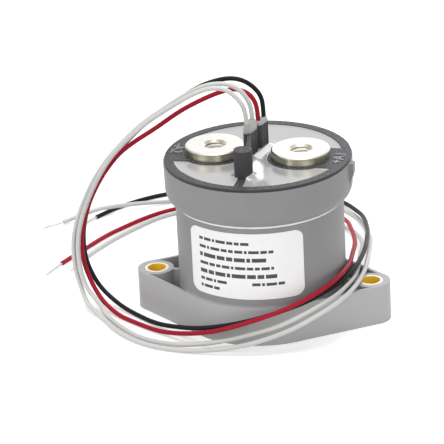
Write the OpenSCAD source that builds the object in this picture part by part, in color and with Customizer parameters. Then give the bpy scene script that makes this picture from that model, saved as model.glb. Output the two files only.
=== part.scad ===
// Sealed high-voltage direct-current contactor: a moulded cup on a two-hole base,
// a potted header with two stud-hole terminals, and four flying leads.
// Frame: X runs through the two mounting holes, the label faces -Y, Z is up.
// The origin is on the underside of the base, on the axis of the round body.

/* [Mounting base] */
// Distance between the two mounting holes
hole_spacing = 80; // [76:0.5:90]
// Radius of each ear round its mounting hole
ear_r = 7; // [6.6:0.2:8.4]
// Height of the diamond-shaped base
base_h = 14.6; // [12:0.2:18]
// Step of the base outside the round body
base_step = 0.1; // [0.05:0.05:1]
// Inset of the straight sides of the base from its round ends
side_inset = 0.1; // [0.05:0.05:0.3]
// Wall round the pockets in the ears
pocket_wall = 1.2; // [1:0.1:2.4]
// Rib that splits the pockets of one ear
pocket_rib = 1.4; // [0.8:0.1:2.4]
// Floor left under the pockets
pocket_floor = 2.5; // [1.5:0.1:5]
// Radius of the solid boss round each bush
boss_r = 6.2; // [5.6:0.1:6.5]
// Bore of the bushes in the ears
bush_bore_d = 6.8; // [6.2:0.1:7.2]
// Wall of the bushes
bush_wall = 1; // [0.6:0.1:1.4]

/* [Round body] */
// Outside diameter of the round body
body_d = 60.6; // [59.4:0.2:62]
// Wall of the body
body_wall = 2.4; // [2:0.1:2.8]
// Floor of the housing
floor_t = 3; // [2:0.1:4]
// Height of the housing from its underside to its rim
housing_h = 60.3; // [58:0.1:66]
// Outside diameter of the collar at the rim
collar_d = 67.8; // [66:0.2:70]
// Height of the collar from the bevel under it to the rim
collar_h = 14.8; // [11:0.1:18]
// Height over which the lower edge of the collar is rounded
collar_round_h = 5; // [3:0.1:8]
// Width and height of the bevel at the top of the round body, under the collar
lip = 0.5; // [0.2:0.1:0.8]
// Draft of the collar, on the radius
collar_draft = 0.15; // [0:0.05:0.6]
// Wall of the collar at the rim
collar_wall = 2.7; // [1.8:0.1:3]
// Depth of the header seat below the rim
seat_depth = 5; // [4:0.1:6]
// Width of the moulded tab on the side of the collar
gate_w = 3.4; // [2:0.1:6]
// Distance that the tab stands out from the collar
gate_t = 1.2; // [0.6:0.1:2.5]
// Height of the straight part of the tab
gate_h = 3.8; // [2:0.1:6]
// Height over which the foot of the tab slants back to the collar
gate_foot_h = 3.8; // [2:0.1:4.4]
// Distance of the tab from the rim
gate_margin = 0.3; // [0.2:0.1:2]

/* [Header] */
// Thickness of the flange that covers the rim
flange_t = 1; // [0.6:0.1:1.6]
// Inset of the edge of the flange from the side of the collar
flange_inset = 0.4; // [0.1:0.1:1]
// Thickness of the skirt inside the collar
skirt_t = 0.9; // [0.6:0.1:1.4]
// Thickness of the plate at the bottom of the header
plate_t = 2.5; // [1.6:0.1:3]
// Radius of the round bosses under the terminals
terminal_boss_r = 12; // [11.4:0.1:12.8]
// Width of the lands between the bosses and the flange
land_w = 19; // [14:0.5:22]
// Drop of the resin surface below the flange
potting_drop = 0.5; // [0.2:0.1:1.2]
// Diameter of the round post
post_d = 6.6; // [6.2:0.1:8]
// Distance of the post from the axis of the body
post_reach = 21; // [19.5:0.5:23]
// Height of the post above the flange
post_h = 10.2; // [8:0.2:13]
// Height of the barrier above the flange
barrier_h = 9.7; // [7.5:0.1:11]
// Thickness of the wall from the post to the first socket
barrier_t = 1.2; // [0.8:0.1:1.6]
// Thickness of the web between the two pairs of sockets
web_t = 1; // [0.6:0.1:1.6]
// Inset of the straight walls from the sides of the round sockets
wall_inset = 0.15; // [0.1:0.05:0.3]
// Place of the first socket along X
socket_x = -2.4; // [-2.5:0.1:-1.5]
// Place of the first socket along Y
socket_y = -4.2; // [-5:0.1:-3]
// Distance from socket to socket
socket_pitch = 4.4; // [4:0.1:4.8]
// Turn of the row of sockets from the Y axis
socket_turn = 13.4; // [6:0.2:16]
// Depth of the sockets
socket_depth = 5; // [3:0.1:7]
// Wall of the lead sockets round the leads
socket_wall = 0.55; // [0.5:0.05:0.8]
// Width of the rib from the post to the flange
post_rib_w = 3; // [2:0.1:4]

/* [Terminals] */
// Distance between the axes of the terminals
terminal_spacing = 31.6; // [30.6:0.2:33]
// Diameter of the terminal discs
disc_d = 21.2; // [18:0.1:22]
// Thickness of the terminal discs
disc_h = 3.3; // [2:0.1:5]
// Bevel round the disc
disc_bevel = 0.4; // [0.2:0.1:0.8]
// Diameter of the terminal shanks
shank_d = 14; // [12.4:0.1:14]
// Tapping size of the threaded hole
thread_d = 6.8; // [5:0.1:7.4]
// Depth of the threaded hole
thread_depth = 12; // [9:0.5:13]
// Mouth of the countersink over the thread
sink_d = 8.7; // [8:0.1:9.6]
// Diameter of the contact tips under the shanks
fixed_tip_d = 11; // [8:0.2:12]
// Thickness of the contact tips under the shanks
fixed_tip_t = 1.5; // [0.8:0.1:2.5]

/* [Drive] */
// Wall of the yoke can
can_wall = 2; // [1.4:0.1:2.6]
// Floor of the yoke can
can_floor = 2.5; // [1.6:0.1:3]
// Thickness of the pole plate
pole_plate_t = 3; // [2:0.1:3.4]
// Diameter of the plunger and the pole piece
plunger_d = 13; // [11.6:0.1:15]
// Height of the pole piece inside the coil
pole_h = 7.4; // [6.6:0.1:8.4]
// Travel of the plunger
stroke = 2; // [1.4:0.1:2.4]
// Depth of the spring pockets in the plunger and the pole piece
spring_pocket = 4; // [3:0.1:4.8]
// Diameter of the spring pockets
spring_pocket_d = 8; // [7.4:0.1:9]
// Diameter of the spigot on the pole piece
spigot_d = 10; // [7:0.1:11]
// Wall of the guide sleeve
sleeve_wall = 0.5; // [0.3:0.05:0.8]
// Wall of the bobbin core and its flanges
bobbin_wall = 1.2; // [0.8:0.1:2]
// Space between the winding and the edge of the flanges
winding_inset = 1.2; // [0.4:0.1:3]
// Diameter of the shaft
shaft_d = 4; // [3:0.1:4.2]
// Shaft left above the retaining clip
shaft_end = 1.2; // [0.6:0.1:2]
// Wire of the return spring
return_wire = 0.7; // [0.5:0.05:0.9]
// Wire of the contact spring
contact_wire = 0.8; // [0.5:0.05:1]

/* [Contacts] */
// Gap between the open contacts
contact_gap = 1.5; // [1:0.05:1.8]
// Width of the contact bridge
bridge_w = 9; // [8:0.2:11]
// Copper of the bridge beyond its tips
bridge_margin = 0.5; // [0.2:0.1:1]
// Thickness of the contact bridge
bridge_t = 2.5; // [1.6:0.1:3]
// Diameter of the tips on the bridge
bridge_tip_d = 9; // [6:0.2:10]
// Thickness of the tips on the bridge
bridge_tip_t = 1; // [0.6:0.1:1.6]
// Length of the terminal shanks below the header
shank_end_drop = 6.3; // [5.8:0.1:7]
// Length of the contact spring at rest
contact_spring_h = 4.4; // [3.8:0.1:4.8]
// Thickness of the spring seat
spring_seat_t = 1; // [0.6:0.1:1.4]
// Diameter of the spring seat
spring_seat_d = 9; // [8:0.1:11]
// Diameter of the retaining clip
clip_d = 7.4; // [6.4:0.1:9]
// Thickness of the retaining clip
clip_t = 0.8; // [0.5:0.1:1.2]

/* [Arc chamber and board] */
// Height of the arc chamber
chamber_h = 20.7; // [20:0.1:22]
// Outside length of the arc chamber
chamber_l = 49; // [48.4:0.2:49.6]
// Outside width of the arc chamber
chamber_w = 22; // [19.6:0.2:22.6]
// Wall of the arc chamber
chamber_wall = 1.6; // [1:0.1:1.7]
// Length of the blow-out magnets
magnet_l = 30; // [20:0.5:36]
// Thickness of the blow-out magnets
magnet_t = 4; // [2.5:0.1:4.4]
// Height of the blow-out magnets
magnet_h = 12; // [8:0.5:16]
// Width of the circuit board
board_w = 36; // [32:0.5:38]
// Height of the circuit board
board_h = 16; // [12:0.5:17]
// Thickness of the circuit board
board_t = 1.6; // [1:0.1:2]
// Diameter of the capacitor on the board
capacitor_d = 5; // [4:0.1:6]
// Height of the capacitor on the board
capacitor_h = 9; // [6:0.2:11]
// Width of the power transistor on the board
transistor_w = 6.5; // [4:0.1:8]
// Thickness of the power transistor on the board
transistor_t = 2.3; // [1.2:0.1:3]
// Diameter of the inductor on the board
inductor_d = 6; // [4:0.1:7]
// Thickness of the inductor on the board
inductor_t = 3; // [1.5:0.1:3.4]
// Length of the auxiliary switch
switch_l = 14; // [10:0.5:20]
// Thickness of the auxiliary switch
switch_t = 5; // [3:0.1:6]
// Height of the auxiliary switch
switch_h = 8; // [5:0.2:12]
// Outside diameter of the gas fill tube
tube_d = 3; // [2.4:0.1:3.6]
// Wall of the gas fill tube
tube_wall = 0.5; // [0.3:0.05:0.8]
// Wall of the post above the end of the fill tube
post_roof = 3; // [2:0.1:5]

/* [Label and leads] */
// Angle that the label covers on the body
label_angle = 84; // [50:1:110]
// Gap between the top of the base and the label
label_gap = 3.5; // [1:0.1:5]
// Gap between the label and the bevel under the collar
label_top_gap = 2.2; // [1:0.1:8]
// Turn of the label from the front of the body
label_turn = 1.2; // [0:0.1:4]
// Thickness of the label
label_t = 0.15; // [0.1:0.05:0.3]
// Radius of the label corners
label_corner = 3; // [1:0.25:5]
// Diameter of the insulated leads
lead_d = 1.7; // [1.4:0.1:1.8]
// Straight rise of the leads above their sockets
lead_rise = 2; // [1:0.5:4]
// Diameter of the stripped lead ends
strand_d = 0.8; // [0.6:0.1:1.2]

/* [Hidden] */

$fn = 96;
// Gap left between pieces that are pressed or moulded together
press_gap = 0.02;
// Gap of the sliding fits
slide_gap = 0.05;
// Gap between pieces that are dropped into place
loose_gap = 0.2;
// Extra length of cutting bodies beyond the faces they cut
cut = 1;

half_span = hole_spacing / 2;
body_r = body_d / 2;
base_r = body_r + base_step;
bush_r = bush_bore_d / 2 + bush_wall;
cup_r = body_r - body_wall;
collar_r = collar_d / 2;
lip_z = housing_h - collar_h;
seat_z = housing_h - seat_depth;
collar_bore_r = collar_r - collar_wall;

header_r = collar_bore_r - slide_gap;
pool_r = header_r - skirt_t;
flange_z = housing_h + flange_t;
plate_z = seat_z + plate_t;
barrier_z = flange_z + barrier_h;
post_z = flange_z + post_h;
post_r = post_d / 2;
term_x = terminal_spacing / 2;
disc_z = flange_z + disc_h;
shank_r = shank_d / 2;

can_r = cup_r - loose_gap;
can_z = floor_t;
can_inner_r = can_r - can_wall;
can_floor_z = can_z + can_floor;
chamber_top_z = seat_z - slide_gap;
chamber_z = chamber_top_z - chamber_h;
plate_top_z = chamber_z - slide_gap;
can_top_z = plate_top_z - pole_plate_t;
plunger_r = plunger_d / 2;
sleeve_in_r = plunger_r + slide_gap;
sleeve_r = sleeve_in_r + sleeve_wall;
sleeve_floor_z = can_floor_z + sleeve_wall;
plunger_z = sleeve_floor_z + slide_gap;
pole_z = can_top_z - pole_h;
plunger_top_z = pole_z - stroke - slide_gap;
bobbin_in_r = sleeve_r + slide_gap;
bobbin_core_r = bobbin_in_r + bobbin_wall;
bobbin_r = can_inner_r - loose_gap;
bobbin_z = can_floor_z + slide_gap;
bobbin_top_z = can_top_z - slide_gap;

shaft_r = shaft_d / 2;
shaft_z = plunger_z + spring_pocket / 2;
shank_end_z = seat_z - shank_end_drop;
fixed_tip_z = shank_end_z - fixed_tip_t;
bridge_tip_top_z = fixed_tip_z - contact_gap - slide_gap;
bridge_top_z = bridge_tip_top_z - bridge_tip_t;
bridge_z = bridge_top_z - bridge_t;
bridge_l = terminal_spacing + bridge_tip_d + 2 * bridge_margin;
spring_seat_top_z = bridge_z - contact_spring_h;
clip_z = bridge_top_z + slide_gap;
shaft_top_z = clip_z + clip_t + shaft_end;

magnet_y = chamber_w / 2 + loose_gap;
magnet_z = (chamber_z + chamber_top_z - magnet_h) / 2;
board_y = magnet_y + magnet_t + loose_gap;
board_z = chamber_z;
board_face_y = board_y + board_t + press_gap;
switch_z = magnet_z;
tube_r = tube_d / 2;
tube_z = seat_z - loose_gap;
tube_top_z = post_z - post_roof;
label_z = base_h + label_gap;
label_h = lip_z - label_top_gap - label_z;
label_in_r = body_r + press_gap;
label_r = label_in_r + label_t;
lead_r = lead_d / 2;
socket_r = lead_r + slide_gap + socket_wall;
socket_floor_z = barrier_z - socket_depth;
socket_places = [
  for (i = [0 : 3]) [socket_x, socket_y] + i * socket_pitch * [sin(socket_turn), cos(socket_turn)]
];
barrier_end = socket_places[0] + [socket_r - wall_inset - barrier_t / 2, 0];

// Straight start of a lead, from the bottom of its socket to just above it
function socket_exit(i) = [
  for (z = [socket_floor_z, barrier_z + lead_rise]) [socket_places[i].x, socket_places[i].y, z]
];
// Routes of the leads, from the bottom of the socket to the end of the insulation
route_black = concat(socket_exit(3), [
  [-0.1, 8.6, 80], [-2.8, 8.1, 84], [-6.8, 7.6, 86.5], [-11.9, 7.4, 86.9], [-20, 6.4, 84.7],
  [-29.8, 6.1, 78.7], [-46.2, 5.5, 65.6], [-59.9, 4.5, 49.2], [-67, 3, 32], [-68, 1.5, 22],
  [-66.5, 0, 14.5], [-62, -2, 7], [-54, -6.5, 2.3], [-44, -13.5, 0.9], [-35, -20, 1.4],
  [-26, -25.5, 3.2], [-16, -31, 6], [-4.5, -33.5, 9.2], [6, -32.5, 12], [15, -28.5, 14.2],
  [22, -23.5, 15.8], [27, -17.5, 17], [30.8, -9.5, 17.7], [33.2, -2, 18.2], [34.2, 7, 18.2],
  [33.8, 20, 17.4], [31, 38, 14], [26.5, 60, 9], [18, 86, 3.5], [3, 105, 0.9], [-28, 114, 0.9],
  [-64, 100, 0.9], [-79, 85, 0.9], [-85.5, 73.5, 0.9]
]);
route_red = concat(socket_exit(2), [
  [-1.2, 4.2, 79.5], [-3.5, 3.9, 82.8], [-7.9, 3.3, 84.5], [-13.4, 2.7, 83.4], [-26.1, 1.8, 77.2],
  [-37.4, 2.2, 69.1], [-52.8, 1.9, 57.4], [-63, 1, 42], [-67.5, -1, 27], [-67.2, -2.5, 17],
  [-64, -4.5, 9], [-59, -8, 3.5], [-51, -14.5, 1.1], [-41, -21, 0.9], [-31, -26.5, 1.4],
  [-18, -32.5, 4.5], [-7, -36, 8.3], [7.5, -35.5, 13.5], [15.5, -32.5, 16.1], [22, -27, 18],
  [27.3, -19.5, 19.4], [30.6, -11.5, 20.3], [31.6, -4, 20.2], [31.7, 3, 19.3], [30.5, 14, 18.3],
  [28.3, 29, 16.2], [23, 48, 13], [16, 67, 8.8], [0, 87, 3.8], [-25, 96, 0.9], [-57, 85, 0.9],
  [-74, 61, 0.9], [-81, 43, 0.9], [-86, 28, 0.9]
]);
route_white_1 = concat(socket_exit(0), [
  [-3.4, -4.3, 80.7], [-6.2, -4.4, 84.7], [-9.7, -4.7, 87.2], [-14.2, -4.9, 87.6], [-19.8, -4.7, 85.8],
  [-30, -4, 79.6], [-41.2, -3.3, 71.4], [-54.9, -2.7, 57.3], [-64.5, -3, 39.5], [-68, -4.2, 27],
  [-67.8, -5.5, 15.5], [-65, -7.5, 8], [-60, -10, 3.5], [-55.4, -15.5, 1.1], [-46, -25.5, 0.9],
  [-37, -32, 0.9], [-22.5, -36, 1.4], [-6.5, -36.5, 4.2], [3.5, -35.5, 7], [13.5, -34, 10.2],
  [20.5, -31, 13], [26.5, -26, 15.2], [30.7, -18.5, 16], [33, -9.5, 15.9], [34.2, -1, 15.8],
  [33.8, 8, 15.8], [32.9, 15, 15.8], [31.4, 25, 13.8], [28, 43.5, 9.2], [22.3, 62, 4.5], [14, 77, 1.1],
  [-4, 88, 0.9], [-28, 91, 0.9], [-56, 81, 0.9], [-69, 61, 0.9], [-75.5, 45, 0.9], [-79, 33, 0.9]
]);
route_white_2 = concat(socket_exit(1), [
  [-2.2, 0, 80.5], [-5, -0.1, 85], [-8.8, -0.6, 87.5], [-13.5, -0.8, 87.8], [-18.6, -0.7, 86.6],
  [-25.8, -0.3, 82.7], [-34.5, -0.1, 76.7], [-44.2, 0.2, 69.2], [-57.9, -0.6, 54.2], [-66.5, -1.5, 38.5],
  [-70.4, -2.5, 25.5], [-70.2, -3.8, 14.5], [-67.8, -6, 7.5], [-64, -10.5, 2.8], [-57.5, -16.5, 1],
  [-47.5, -28, 0.9], [-38, -35, 0.9], [-28.5, -38.5, 0.9], [-16, -39.7, 1.2], [-1.5, -38.7, 3.2],
  [8.5, -37, 5.8], [18, -33.5, 9], [25, -30, 12.2], [31.5, -24, 15], [35, -15.5, 16], [36.5, -5, 15.9],
  [36.7, 5, 15.9], [36, 14, 15.9], [33.8, 27, 13], [30.5, 46, 7.5], [26, 66, 3], [16, 88, 0.9],
  [0, 100, 0.9], [-28, 106, 0.9], [-61, 92.5, 1.1], [-74, 83.5, 2.8], [-84.5, 75.3, 3.7],
  [-91, 70.5, 2.6], [-97, 66, 1.2]
]);
// Far ends of the stripped strands
end_black = [-88.7, 65.5, 0.7];
end_red = [-89, 17.5, 0.7];
end_white_1 = [-80.8, 22.5, 0.7];
end_white_2 = [-104, 60, 0.7];
tube_sides = 8;
span_steps = 2;
spring_sides = 6;
spring_steps = 14;
return_turns = 5;
contact_turns = 3;
round_steps = 8;

// Unit vector along v
function unit(v) = v / norm(v);
// Route point i, with one mirrored point beyond each end
function route_point(route, i) =
  i < 0 ? 2 * route[0] - route[1] :
  i >= len(route) ? 2 * route[i - 1] - route[i - 2] : route[i];
// Speed of a smooth curve at the point b between a and c, over the span that has the root chord share
function curve_speed(a, b, c, share) =
  let (before = sqrt(norm(b - a)), after = sqrt(norm(c - b)))
    share * ((b - a) / before - (c - a) / (before + after) + (c - b) / after);
// Point on the smooth curve of a route at the share t of span i, never lower than the lead lies
function curve_point(route, i, t) =
  let (
    a = route_point(route, i - 1),
    b = route_point(route, i),
    c = route_point(route, i + 1),
    d = route_point(route, i + 2),
    share = sqrt(norm(c - b)),
    go = curve_speed(a, b, c, share),
    stop = curve_speed(b, c, d, share),
    p = (2 * t ^ 3 - 3 * t ^ 2 + 1) * b + (t ^ 3 - 2 * t ^ 2 + t) * go
      + (3 * t ^ 2 - 2 * t ^ 3) * c + (t ^ 3 - t ^ 2) * stop
  )
    [p.x, p.y, max(p.z, lead_r + slide_gap)];
// Smooth path of a lead through the points of its route
function smooth(route) = [
  for (i = [0 : len(route) - 2], k = [0 : span_steps - 1]) curve_point(route, i, k / span_steps),
  route[len(route) - 1]
];
// Direction of a path at point i
function heading(path, i) = unit(path[min(i + 1, len(path) - 1)] - path[max(i - 1, 0)]);
// Part of v square to the direction t
function square_to(v, t) = unit(v - t * (v * t));
// First side vector of a path
function first_side(t) = square_to(abs(t.z) < 0.7 ? [0, 0, 1] : [1, 0, 0], t);
// Side vectors carried along a path without twist
function side_vectors(path) = [
  for (i = 0, s = first_side(heading(path, 0)); i < len(path);
       i = i + 1, s = i < len(path) ? square_to(s, heading(path, i)) : s) s
];
// Ring of points round a path point
function ring(centre, t, s, r, sides) = [
  for (k = [0 : sides - 1])
    let (turn = 360 * k / sides)
      centre + r * (cos(turn) * s + sin(turn) * cross(t, s))
];
// Points on a helix with closed flat ends
function helix(r, z0, z1, turns) = [
  for (i = [0 : turns * spring_steps])
    let (share = i / (turns * spring_steps), turn = 360 * i / spring_steps)
      [r * cos(turn), r * sin(turn), z0 + (z1 - z0) * share]
];
// Rounded lower edge of the collar
function collar_edge() = [
  for (i = [0 : round_steps])
    let (turn = 90 * i / round_steps, reach = collar_r - collar_draft - body_r + lip)
      [body_r - lip + reach * sin(turn), lip_z + lip + collar_round_h * (1 - cos(turn))]
];

// Round tube swept along a path
module swept_tube(path, r, sides) {
  count = len(path);
  sidev = side_vectors(path);
  points = [for (i = [0 : count - 1]) each ring(path[i], heading(path, i), sidev[i], r, sides)];
  start_cap = [[for (k = [0 : sides - 1]) k]];
  end_cap = [[for (k = [sides - 1 : -1 : 0]) (count - 1) * sides + k]];
  walls = [
    for (i = [0 : count - 2], k = [0 : sides - 1])
      let (a = i * sides + k, b = i * sides + (k + 1) % sides)
        each [[a, a + sides, b + sides], [a, b + sides, b]]
  ];
  polyhedron(points = points, faces = concat(start_cap, walls, end_cap), convexity = 10);
}

// Flat ring or tube on the Z axis
module ring_solid(r_out, r_in, z0, z1) {
  translate([0, 0, z0]) difference() {
    cylinder(r = r_out, h = z1 - z0);
    translate([0, 0, -cut]) cylinder(r = r_in, h = z1 - z0 + 2 * cut);
  }
}

// Disc on the Z axis
module disc_solid(r, z0, z1) {
  translate([0, 0, z0]) cylinder(r = r, h = z1 - z0);
}

// Upright wall between two plan points
module wall_between(a, b, t, z0, z1) {
  run = unit(b - a);
  side = t / 2 * [-run.y, run.x];
  translate([0, 0, z0]) linear_extrude(z1 - z0) polygon([a - side, b - side, b + side, a + side]);
}

// Places of the two ears
module at_ears() {
  for (side = [-1, 1]) translate([side * half_span, 0, 0]) children();
}

// Plan of the base: the round body and the ears joined by straight sides just inside the tangents
module base_plan(r_mid, r_end) {
  slope = asin((r_mid - r_end) / half_span);
  mid = (r_mid - side_inset) * [sin(slope), cos(slope)];
  end = [half_span, 0] + (r_end - side_inset) * [sin(slope), cos(slope)];
  circle(r = r_mid);
  at_ears() circle(r = r_end);
  polygon([
    [end.x, end.y], [mid.x, mid.y], [-mid.x, mid.y], [-end.x, end.y],
    [-end.x, -end.y], [-mid.x, -mid.y], [mid.x, -mid.y], [end.x, -end.y]
  ]);
}

// Plan of the four pockets between the bosses and the body
module pocket_plan() {
  difference() {
    base_plan(base_r - pocket_wall, ear_r - pocket_wall);
    circle(r = body_r);
    at_ears() circle(r = boss_r);
    square([hole_spacing, pocket_rib], center = true);
  }
}

module housing() {
  color([0.5, 0.51, 0.52]) difference() {
    union() {
      linear_extrude(base_h) base_plan(base_r, ear_r);
      rotate_extrude() polygon(concat(
        [[0, 0], [body_r, 0], [body_r, lip_z]],
        collar_edge(),
        [[collar_r, housing_h], [0, housing_h]]
      ));
      gate_tab();
    }
    disc_solid(cup_r, floor_t, housing_h);
    disc_solid(collar_bore_r, seat_z, housing_h + cut);
    at_ears() disc_solid(bush_r + press_gap, -cut, base_h + cut);
    translate([0, 0, pocket_floor]) linear_extrude(base_h) pocket_plan();
  }
}

// Moulded tab on the side of the collar, which slants in at its foot
module gate_tab() {
  top_z = housing_h - gate_margin;
  sink = collar_wall / 2;
  foot_z = top_z - gate_h - gate_foot_h * (gate_t + sink) / gate_t;
  translate([collar_r, gate_w / 2, 0]) rotate([90, 0, 0]) linear_extrude(gate_w)
    polygon([[-sink, foot_z], [gate_t, top_z - gate_h], [gate_t, top_z], [-sink, top_z]]);
}

module bush() {
  color([0.83, 0.63, 0.2]) ring_solid(bush_r, bush_bore_d / 2, 0, base_h);
}

module bush_left() {
  translate([-half_span, 0, 0]) bush();
}

module bush_right() {
  translate([half_span, 0, 0]) bush();
}

// Raised parts of the header, which the resin runs round
module header_islands(grow, z_land) {
  for (side = [-1, 1]) {
    translate([side * term_x, 0, 0]) disc_solid(terminal_boss_r + grow, plate_z, z_land);
    intersection() {
      disc_solid(header_r - skirt_t / 2, plate_z, z_land);
      translate([side * (term_x + header_r / 2), 0, (plate_z + z_land) / 2])
        cube([header_r, land_w + 2 * grow, z_land - plate_z], center = true);
    }
  }
  translate([-post_rib_w / 2 - grow, -header_r + skirt_t / 2, plate_z])
    cube([post_rib_w + 2 * grow, header_r - skirt_t / 2 - post_reach, z_land - plate_z]);
}

// Upright parts of the header: post, barrier and lead sockets
module header_towers(grow) {
  pair_t = 2 * (socket_r - wall_inset);
  translate([0, -post_reach, 0]) disc_solid(post_r + grow, plate_z, post_z);
  wall_between([post_r / 2, -post_reach], barrier_end, barrier_t + 2 * grow, plate_z, barrier_z);
  for (place = socket_places)
    translate([place.x, place.y, 0]) disc_solid(socket_r + grow, plate_z, barrier_z);
  for (i = [0, 2])
    wall_between(socket_places[i], socket_places[i + 1], pair_t + 2 * grow, plate_z, barrier_z);
  wall_between(socket_places[1], socket_places[2], web_t + 2 * grow, plate_z, barrier_z);
}

module header() {
  color([0.13, 0.13, 0.14]) difference() {
    union() {
      disc_solid(header_r, seat_z, plate_z);
      ring_solid(header_r, pool_r, seat_z, flange_z);
      ring_solid(collar_r - flange_inset, pool_r, housing_h, flange_z);
      header_islands(0, flange_z);
      header_towers(0);
    }
    for (side = [-1, 1])
      translate([side * term_x, 0, 0]) disc_solid(shank_r + press_gap, seat_z - cut, flange_z + cut);
    for (place = socket_places)
      translate([place.x, place.y, 0]) disc_solid(lead_r + slide_gap, socket_floor_z, barrier_z + cut);
    translate([0, -post_reach, 0]) disc_solid(tube_r + press_gap, seat_z - cut, tube_top_z + press_gap);
  }
}

module potting() {
  color([0.83, 0.83, 0.82]) difference() {
    disc_solid(pool_r - press_gap, plate_z + press_gap, flange_z - potting_drop);
    header_islands(press_gap, flange_z);
    header_towers(press_gap);
  }
}

module rating_label() {
  color([0.96, 0.96, 0.95]) rotate([0, 0, label_turn]) intersection() {
    ring_solid(label_r, label_in_r, label_z, label_z + label_h);
    translate([0, 0, label_z]) rotate([90, 0, 0]) linear_extrude(label_r + cut) label_plan();
  }
}

// Rounded outline of the label as seen from the front
module label_plan() {
  half_w = body_r * sin(label_angle / 2);
  translate([label_corner - half_w, 0]) square([2 * (half_w - label_corner), label_h]);
  translate([-half_w, label_corner]) square([2 * half_w, label_h - 2 * label_corner]);
  for (x = [-1, 1], z = [label_corner, label_h - label_corner])
    translate([x * (half_w - label_corner), z]) circle(r = label_corner);
}

// Plated terminal: bevelled disc on a shank, with a countersunk threaded hole
module terminal() {
  sink_h = (sink_d - thread_d) / 2;
  color([0.86, 0.85, 0.8]) difference() {
    rotate_extrude() polygon([
      [0, shank_end_z], [shank_r, shank_end_z], [shank_r, flange_z],
      [disc_d / 2, flange_z], [disc_d / 2, disc_z - disc_bevel],
      [disc_d / 2 - disc_bevel, disc_z], [0, disc_z]
    ]);
    disc_solid(thread_d / 2, disc_z - thread_depth, disc_z + cut);
    translate([0, 0, disc_z - sink_h]) cylinder(r1 = thread_d / 2, r2 = sink_d / 2, h = sink_h);
  }
}

module terminal_a1() {
  translate([term_x, 0, 0]) terminal();
}

module terminal_a2() {
  translate([-term_x, 0, 0]) terminal();
}

module fixed_tip() {
  color([0.8, 0.78, 0.76]) disc_solid(fixed_tip_d / 2, fixed_tip_z, shank_end_z);
}

module fixed_tip_a1() {
  translate([term_x, 0, 0]) fixed_tip();
}

module fixed_tip_a2() {
  translate([-term_x, 0, 0]) fixed_tip();
}

module yoke_can() {
  color([0.62, 0.64, 0.66]) difference() {
    disc_solid(can_r, can_z, can_top_z);
    disc_solid(can_inner_r, can_floor_z, can_top_z + cut);
  }
}

module guide_sleeve() {
  color([0.78, 0.66, 0.35]) difference() {
    disc_solid(sleeve_r, can_floor_z, can_top_z);
    disc_solid(sleeve_in_r, sleeve_floor_z, can_top_z + cut);
  }
}

module bobbin() {
  color([0.2, 0.3, 0.25]) difference() {
    disc_solid(bobbin_r, bobbin_z, bobbin_top_z);
    ring_solid(bobbin_r + cut, bobbin_core_r, bobbin_z + bobbin_wall, bobbin_top_z - bobbin_wall);
    disc_solid(bobbin_in_r, bobbin_z - cut, bobbin_top_z + cut);
  }
}

module coil_winding() {
  color([0.72, 0.4, 0.2]) ring_solid(
    bobbin_r - winding_inset,
    bobbin_core_r + press_gap,
    bobbin_z + bobbin_wall + press_gap,
    bobbin_top_z - bobbin_wall - press_gap
  );
}

module pole_plate() {
  color([0.62, 0.64, 0.66]) ring_solid(can_r, spigot_d / 2 + press_gap, can_top_z, plate_top_z);
}

module pole_piece() {
  color([0.66, 0.67, 0.69]) difference() {
    union() {
      disc_solid(plunger_r, pole_z, can_top_z);
      disc_solid(spigot_d / 2, can_top_z, plate_top_z);
    }
    disc_solid(shaft_r + slide_gap, pole_z - cut, plate_top_z + cut);
    disc_solid(spring_pocket_d / 2, pole_z - cut, pole_z + spring_pocket);
  }
}

module plunger() {
  color([0.66, 0.67, 0.69]) difference() {
    disc_solid(plunger_r, plunger_z, plunger_top_z);
    disc_solid(spring_pocket_d / 2, plunger_top_z - spring_pocket, plunger_top_z + cut);
    disc_solid(shaft_r + press_gap, shaft_z, plunger_top_z);
  }
}

module shaft() {
  color([0.78, 0.79, 0.8]) disc_solid(shaft_r, shaft_z, shaft_top_z);
}

// Compression spring between two levels, round the shaft
module spring(mean_r, wire, z0, z1, turns) {
  swept_tube(helix(mean_r, z0 + wire / 2 + slide_gap, z1 - wire / 2 - slide_gap, turns), wire / 2, spring_sides);
}

module return_spring() {
  color([0.75, 0.76, 0.78]) spring(
    (spring_pocket_d / 2 + shaft_r) / 2, return_wire,
    plunger_top_z - spring_pocket, pole_z + spring_pocket, return_turns
  );
}

module contact_spring() {
  color([0.75, 0.76, 0.78]) spring(
    (spring_seat_d / 2 + shaft_r) / 2, contact_wire, spring_seat_top_z, bridge_z, contact_turns
  );
}

module spring_seat() {
  color([0.7, 0.71, 0.73])
    ring_solid(spring_seat_d / 2, shaft_r + press_gap, spring_seat_top_z - spring_seat_t, spring_seat_top_z);
}

module contact_bridge() {
  color([0.77, 0.47, 0.28]) difference() {
    union() {
      translate([0, 0, bridge_z + bridge_t / 2])
        cube([bridge_l - bridge_w, bridge_w, bridge_t], center = true);
      for (side = [-1, 1])
        translate([side * (bridge_l - bridge_w) / 2, 0, 0]) disc_solid(bridge_w / 2, bridge_z, bridge_top_z);
    }
    disc_solid(shaft_r + slide_gap, bridge_z - cut, bridge_top_z + cut);
  }
}

module bridge_tips() {
  color([0.8, 0.78, 0.76]) for (side = [-1, 1])
    translate([side * term_x, 0, 0]) disc_solid(bridge_tip_d / 2, bridge_top_z, bridge_tip_top_z);
}

module retaining_clip() {
  color([0.5, 0.5, 0.5]) difference() {
    ring_solid(clip_d / 2, shaft_r + press_gap, clip_z, clip_z + clip_t);
    translate([-shaft_r / 2, 0, clip_z - cut]) cube([shaft_r, clip_d, clip_t + 2 * cut]);
  }
}

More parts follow.
